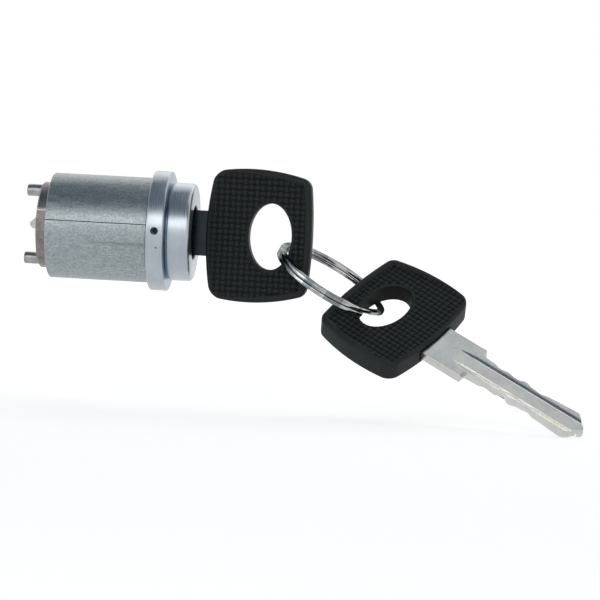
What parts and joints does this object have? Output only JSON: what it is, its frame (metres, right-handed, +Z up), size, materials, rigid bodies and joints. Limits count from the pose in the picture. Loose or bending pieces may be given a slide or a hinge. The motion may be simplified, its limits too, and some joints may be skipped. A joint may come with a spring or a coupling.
{
  "type": "ignition switch",
  "caption": "Ignition lock cylinder with a collared round barrel and rear drive pins, its key in place, and a spare key hung on a split ring.",
  "frame": {"origin": "on the lock axis, at the rear face of the collar that seats on the steering lock", "axes": "+X along the lock axis towards the key, +Z up across the key's width, +Y away from the viewer"},
  "size_m": [0.1405, 0.0425, 0.0601],
  "materials": {
    "zinc_plated_steel": "bright zinc plate",
    "sleeve_steel": "rough, dulled",
    "spring_steel": "bright",
    "rotor_brass": "machined",
    "hub_steel": "dulled, worn",
    "pin_steel": "ground",
    "wafer_brass": "stamped",
    "nickel_silver": "milled, bright",
    "bow_plastic": "moulded, pillow grain",
    "ring_steel": "polished"
  },
  "bodies": {
    "lock_body": {"housing": "zinc_plated_steel", "barrel_sleeve": "sleeve_steel", "rear_snap_ring": "spring_steel"},
    "lock_rotor": {"rotor": "rotor_brass", "drive_hub": "hub_steel", "upper_drive_pin": "pin_steel", "lower_drive_pin": "pin_steel", "wafer_1": "wafer_brass", "wafer_2": "wafer_brass", "wafer_3": "wafer_brass", "wafer_4": "wafer_brass", "wafer_5": "wafer_brass", "wafer_6": "wafer_brass", "wafer_7": "wafer_brass", "wafer_8": "wafer_brass", "wafer_spring_1": "spring_steel", "wafer_spring_2": "spring_steel", "wafer_spring_3": "spring_steel", "wafer_spring_4": "spring_steel", "wafer_spring_5": "spring_steel", "wafer_spring_6": "spring_steel", "wafer_spring_7": "spring_steel", "wafer_spring_8": "spring_steel"},
    "key": {"key_blade": "nickel_silver", "key_head": "bow_plastic"},
    "ring": {"split_ring": "ring_steel"},
    "spare_key": {"spare_key_blade": "nickel_silver", "spare_key_head": "bow_plastic"}
  },
  "joints": [
    {"name": "rotor_turn", "type": "hinge", "parent": "lock_body", "child": "lock_rotor", "pos_m": [0, 0, 0], "axis": [-1, 0, 0], "range_deg": [0, 120]},
    {"name": "key_slide", "type": "slide", "parent": "lock_rotor", "child": "key", "axis": [1, 0, 0], "range_m": [0, 0.042]},
    {"name": "ring_swing", "type": "hinge", "parent": "key", "child": "ring", "pos_m": [0.0375, 0, 0], "axis": [0, 0, 1], "range_deg": [-45, 60]},
    {"name": "spare_key_swing", "type": "hinge", "parent": "ring", "child": "spare_key", "pos_m": [0.04471, 0.00218, -0.00998], "axis": [0.4835, -0.2039, 0.8513], "range_deg": [-40, 70]}
  ]
}
